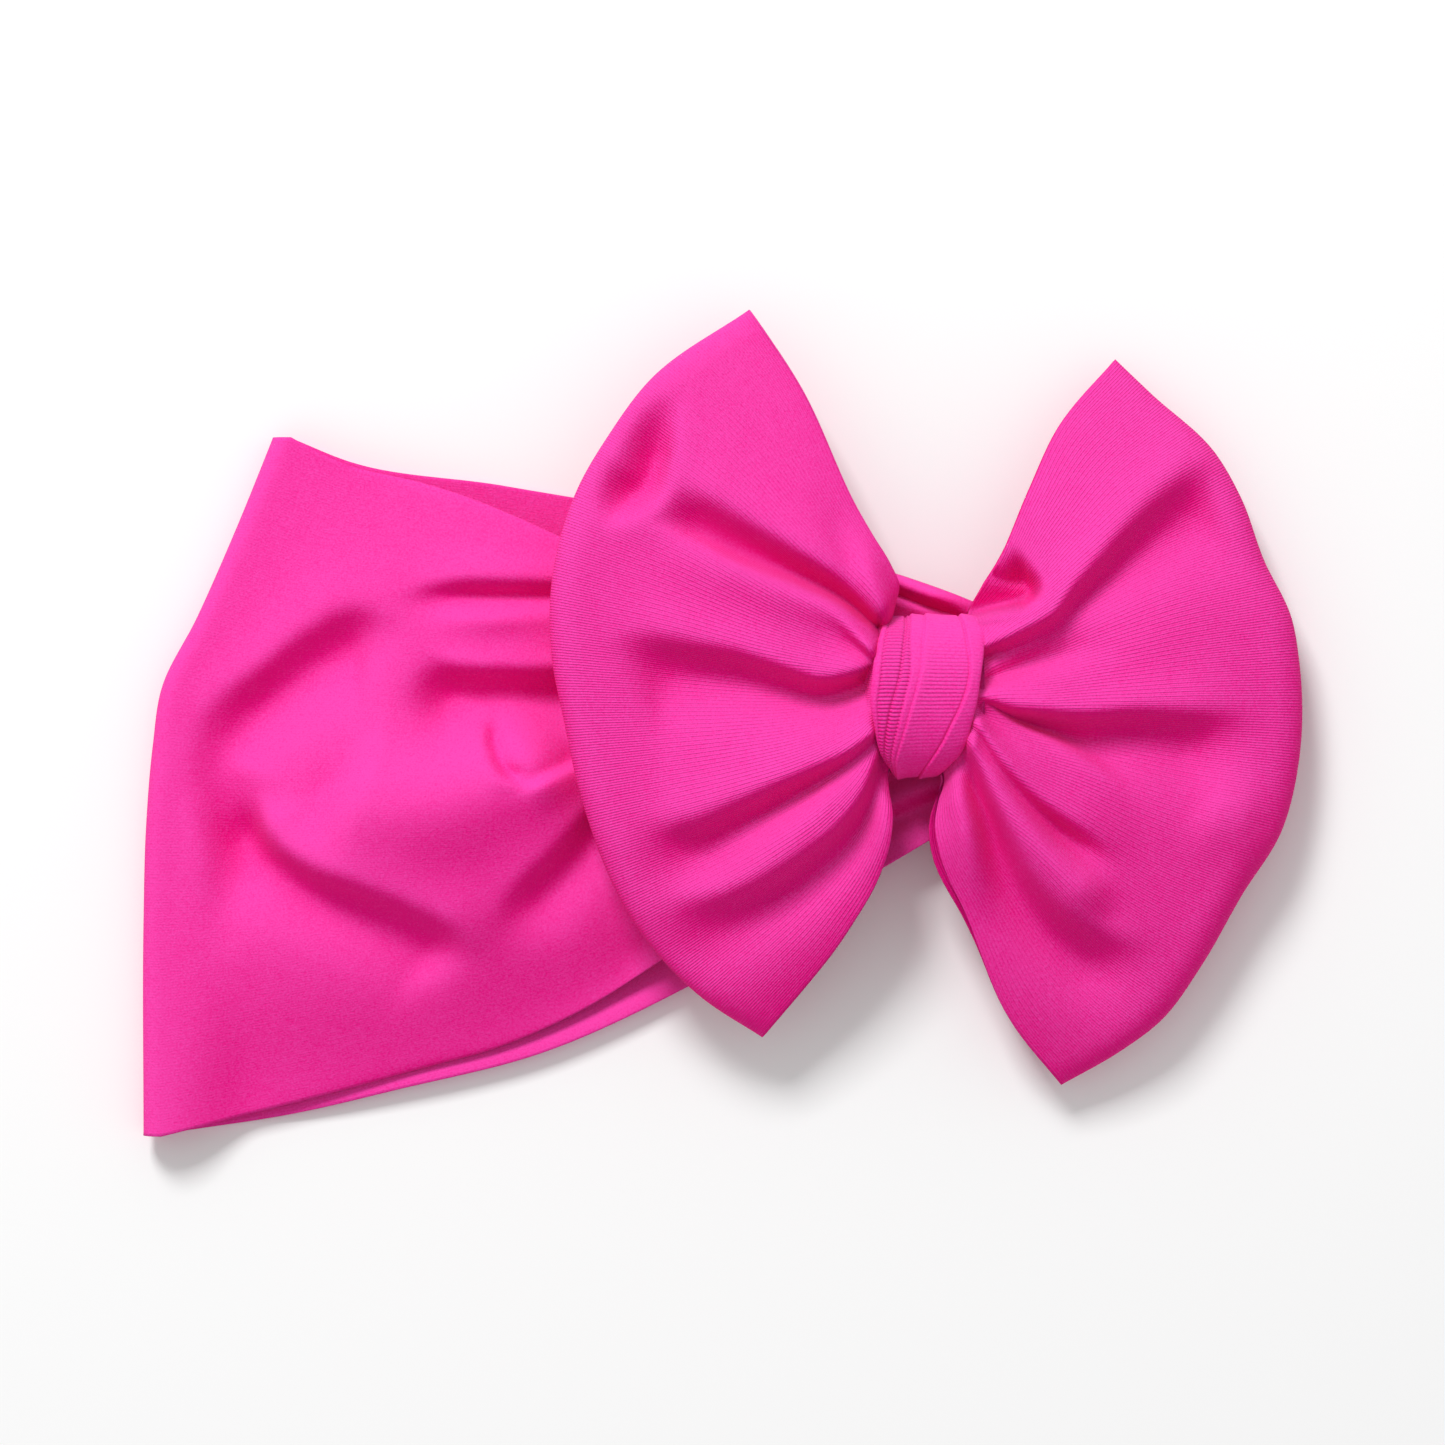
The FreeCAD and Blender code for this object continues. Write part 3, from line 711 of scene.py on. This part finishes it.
BAND_FOLDS = [
    # streak beside the wing, upper, and the ridge below it
    Fold([(-28, 27.9), (-46.7, 28.4), (-56.4, 28.4), (-66, 26.8), (-71, 25)],
         left=-3.2, right=1.2, left_widths=(4.5, 4), right_widths=(8, 8), crease=(3.4, 3.0), fade_out=0.4),
    ridge([(-30, 24.7), (-50, 22.8), (-64, 22.2)], 0.8, (3, 3), fade_out=0.4),
    # streak beside the wing, middle
    Fold([(-26, 8.9), (-46.7, 8.9), (-58, 9.6), (-66, 12.6)],
         left=-4.8, right=1.4, left_widths=(10, 12), right_widths=(5, 5), crease=(5, 5), fade_out=0.2),
    # long slope from the middle of the band to its left fold, then down beside it
    Fold([(-68, 15.5), (-79, 19.5), (-87, 15.5), (-96.7, 8.6), (-106.3, 2.1), (-112.5, -4.3), (-114, -10.7),
          (-111.5, -20.4), (-109.5, -30), (-110, -42), (-109, -54)],
         left=-5.0, right=1.4, left_widths=(12, 8), right_widths=(14, 8), crease=(8.5, 5.0), fade_in=0.15,
         fade_out=0.35),
    # the puff, and the hollow round its lower left
    ridge([(-87, -13), (-75.7, -18.5), (-59.6, -18), (-43.5, -12), (-30.6, -5)], 3.6, (15, 12), fade_in=0.2,
          fade_out=0.2),
    Fold([(-101.5, -15), (-98, -26), (-88.6, -33.5), (-78.9, -37.6), (-69.3, -41.7), (-59.6, -47.3),
          (-54, -55)],
         left=2.2, right=-3.6, left_widths=(8, 12), right_widths=(7, 13), crease=(3.5, 7), fade_in=0.15,
         fade_out=0.2),
    # hollow beside the wing, lower
    Fold([(-27, -20), (-35.4, -30), (-40.3, -35), (-45, -41.5), (-48, -50)],
         left=-2.8, right=1.2, left_widths=(7, 9), right_widths=(8, 12), crease=(4.0, 6.0), fade_out=0.4),
    # the small bent fold beside the wing
    Fold([(-50.5, 1.5), (-50, -5), (-47, -11), (-41.9, -14)],
         left=-2.0, right=0.4, left_widths=(3.5, 3), right_widths=(3, 3), crease=0.9, fade_in=0.3,
         fade_out=0.25),
    Fold([(-42.5, -14.5), (-36, -11), (-29, -7.5)],
         left=-0.6, right=1.4, left_widths=(3, 3), right_widths=(5, 6), crease=0.9, fade_in=0.25,
         fade_out=0.1),
]


def band_front_grid():
    """From inside the knot over the front layer and round the left fold to the surface."""
    t = np.linspace(0, 1, BAND_COLUMNS)
    r = np.linspace(0, 1, 170)
    near = [(TUCK_X, y) for y in np.linspace(*TUCK_Y, 5)]
    xy = patch(FOLD_LINE, near, FRONT_LOW, FRONT_HIGH, r, t)
    rr, tt = r[:, None], t[None]
    start = CLOTH / 2 + 2 * FOLD_RADIUS
    puff = 4.5 * np.sin(math.pi * np.clip(rr / 0.62, 0, 1)) ** 2 * np.sin(math.pi * tt) ** 0.6
    pleats = 2.2 * smoothstep((rr - 0.55) / 0.35) * np.cos(2 * math.pi * 8 * tt)
    pleats *= 1 - 0.5 * smoothstep((rr - 0.93) / 0.07)
    sag = 5.4 * np.exp(-(tt / 0.16) ** 2) * smoothstep((rr - 0.01) / 0.10)
    sag *= 1 - smoothstep((rr - 0.55) / 0.25)
    z = start + (GATHER_Z - start) * rr + puff + pleats - sag
    z += folded(xy, BAND_FOLDS) * smoothstep(rr / 0.12) * (1 - smoothstep((rr - 0.62) / 0.12))
    front = np.concatenate([xy, z[..., None]], axis=2)
    line = curve(FOLD_LINE, t)
    turn = []
    for angle in np.linspace(0, math.pi, 18)[1:]:
        x = line[:, 0] - FOLD_RADIUS * math.sin(angle)
        z = CLOTH / 2 + FOLD_RADIUS * (1 + math.cos(angle))
        turn.append(np.stack([x, line[:, 1], np.full_like(x, z)], -1))
    return np.vstack([front[::-1], np.array(turn)])


BACK_FOLDS = [
    # rolled edge above the knot, and the crease under it
    ridge([(27, 33.6), (37.4, 30.6), (43.6, 28.2), (50.5, 26.1), (58, 23.6)], 2.2, (1.5, 1.5), fade_in=0.3,
          fade_out=0.42),
    ridge([(27, 30.8), (37.4, 27.9), (43.6, 25.4), (50.5, 23.2), (58, 20.6)], -1.2, (0.9, 0.9), fade_in=0.3,
          fade_out=0.42),
]


def band_back_grid():
    """From the left fold over the surface and round the right turn into the knot."""
    t = np.linspace(0, 1, BAND_COLUMNS)
    r = np.linspace(0, 1, 150)
    far = [(TURN_X, y) for y in np.linspace(-15, 23, 5)]
    xy = patch(FOLD_LINE, far, BACK_LOW, BACK_HIGH, r, t)
    rr, tt = r[:, None], t[None]
    pleats = 1.6 * smoothstep((rr - 0.45) / 0.45) * (1 - np.cos(2 * math.pi * 7 * tt)) / 2
    lift = 6.4 * smoothstep((rr - 0.74) / 0.16)
    curl = 2.6 * np.exp(-(tt / 0.05) ** 2) * smoothstep((rr - 0.02) / 0.3)
    z = CLOTH / 2 + pleats + lift + curl + folded(xy, BACK_FOLDS)
    # keep it clear of the tail under the knot, which follows the knot's oval
    share = np.clip((xy[..., 1] - KNOT[1]) / (KNOT_HALF[1] + TAIL), -1, 1)
    clearance = CLOTH / 2 + 0.55
    ceiling = KNOT[2] - (KNOT_HALF[2] + TAIL) * np.sqrt(1 - share ** 2) - clearance
    under = smoothstep((xy[..., 0] - KNOT_LOW[0] + 12) / 8)
    z = np.minimum(z, ceiling * under + KNOT_HIGH[2] * (1 - under))
    flat = np.concatenate([xy, z[..., None]], axis=2)
    _, end_y, end_z = flat[-1].T
    bulge = 0.45 * (GATHER_Z - CLOTH / 2)
    turn = []
    for angle in np.linspace(0, math.pi, 16)[1:]:
        share = angle / math.pi
        y = end_y + (np.linspace(*TUCK_Y, len(t)) - end_y) * share * 0.6
        x = np.full_like(y, TURN_X + bulge * math.sin(angle) - 4 * share ** 2)
        z = end_z + (GATHER_Z - end_z) * (1 - math.cos(angle)) / 2
        turn.append(np.stack([x, y, z], -1))
    in_knot = np.stack([np.full(len(t), 50.0), np.linspace(-5, 16, len(t)),
                        np.full(len(t), GATHER_Z)], -1)
    inside = [turn[-1] + (in_knot - turn[-1]) * share for share in np.linspace(0, 1, 8)[1:]]
    return np.vstack([flat, np.array(turn), np.array(inside)])


# ---------------------------------------------------------------- stage

# Places, sizes and distances are in metres here.

FLOOR_HALF = 3.0
FLOOR_Z = -0.0003      # just under the cloth


def stage():
    mesh = bpy.data.meshes.new("floor")
    ends = (-FLOOR_HALF, FLOOR_HALF)
    mesh.from_pydata([(x, y, 0) for y in ends for x in ends], [], [(0, 1, 3, 2)])
    mesh.materials.append(plain("floor_white", (0.96, 0.96, 0.96, 1), 0.9))
    floor = bpy.data.objects.new("floor", mesh)
    floor.location.z = FLOOR_Z
    bpy.context.scene.collection.objects.link(floor)


def camera():
    """Straight above, from a metre away."""
    data = bpy.data.cameras.new("camera")
    data.sensor_width = 36
    data.lens = 114.6
    obj = bpy.data.objects.new("camera", data)
    obj.location = (0, 0, 1.0)
    bpy.context.scene.collection.objects.link(obj)
    bpy.context.scene.camera = obj


def lighting():
    """An even white surround, and a soft key light from beyond the band's top edge."""
    world = bpy.data.worlds.new("studio")
    world.use_nodes = True
    background = world.node_tree.nodes["Background"]
    background.inputs["Color"].default_value = (1, 1, 1, 1)
    background.inputs["Strength"].default_value = 0.56
    bpy.context.scene.world = world
    light = bpy.data.lights.new("key", "AREA")
    light.shape = "SQUARE"
    light.size = 0.6
    light.energy = 32
    key = bpy.data.objects.new("key", light)
    key.location = (-0.6, 1.45, 1.35)
    key.rotation_euler = (-key.location).to_track_quat("-Z", "Y").to_euler()
    bpy.context.scene.collection.objects.link(key)
    bpy.context.scene.view_settings.view_transform = "Standard"
    bpy.context.scene.view_settings.look = "None"


# ---------------------------------------------------------------- the object

def carried_over(node, material):
    """Gives a CAD part that stays in view its finish."""
    for slot in bpy.data.objects[node].material_slots:
        slot.material = material


def build():
    bow_cloth = knit("bow_knit", rib_pitch=0.60, rib_depth=0.14, rib_colour=0.34)
    band_cloth = knit("band_knit", rib_pitch=0.60, rib_depth=0.02, rib_colour=0.05)
    knot_cloth = knit("knot_knit", rib_pitch=0.85, rib_depth=0.16, rib_colour=0.30)

    grid = softened(wing(LEFT_PLAN, LEFT_FOLDS, left_middle, rim_half=5.0, front_rise=3.5))
    left = cloth_piece("bow_left_cloth", grid, bow_cloth)
    grid = softened(wing(RIGHT_PLAN, RIGHT_FOLDS, right_middle, rim_half=4.6, front_rise=4.5, peek=1.6))
    right = cloth_piece("bow_right_cloth", grid, bow_cloth)
    grid = softened(band_front_grid())
    band_front = cloth_piece("band_front_cloth", grid, band_cloth)
    band_back = cloth_piece("band_back_cloth", band_back_grid(), band_cloth)
    grid, ribbed, painted_shade, place = knot_grid()
    knot = cloth_piece("knot_strip", grid, knot_cloth, "band_front", thickness=0,
                       closed=True, ribbed=ribbed, painted_shade=painted_shade, place=place)
    bundle("bow_waist_cloth", "bow_waist", bow_cloth, (9, 13, 17), 3)
    bundle("band_gather_cloth", "band_gather", band_cloth, (8, 11, 15), 5)
    tail(knot_cloth)
    thread = thread_finish()
    for node in ("gather_thread", "waist_thread", "knot_stitches"):
        carried_over(node, thread)

    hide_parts("bow_left_loop")
    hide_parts("bow_right_loop")
    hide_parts("band_front_layer", "band_left_fold")
    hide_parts("band_back_layer", "band_right_turn")
    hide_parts("knot_wrap")
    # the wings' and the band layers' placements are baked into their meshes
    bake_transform(left)
    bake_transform(right)
    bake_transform(band_front)
    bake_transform(band_back)


camera()
lighting()
stage()
build()
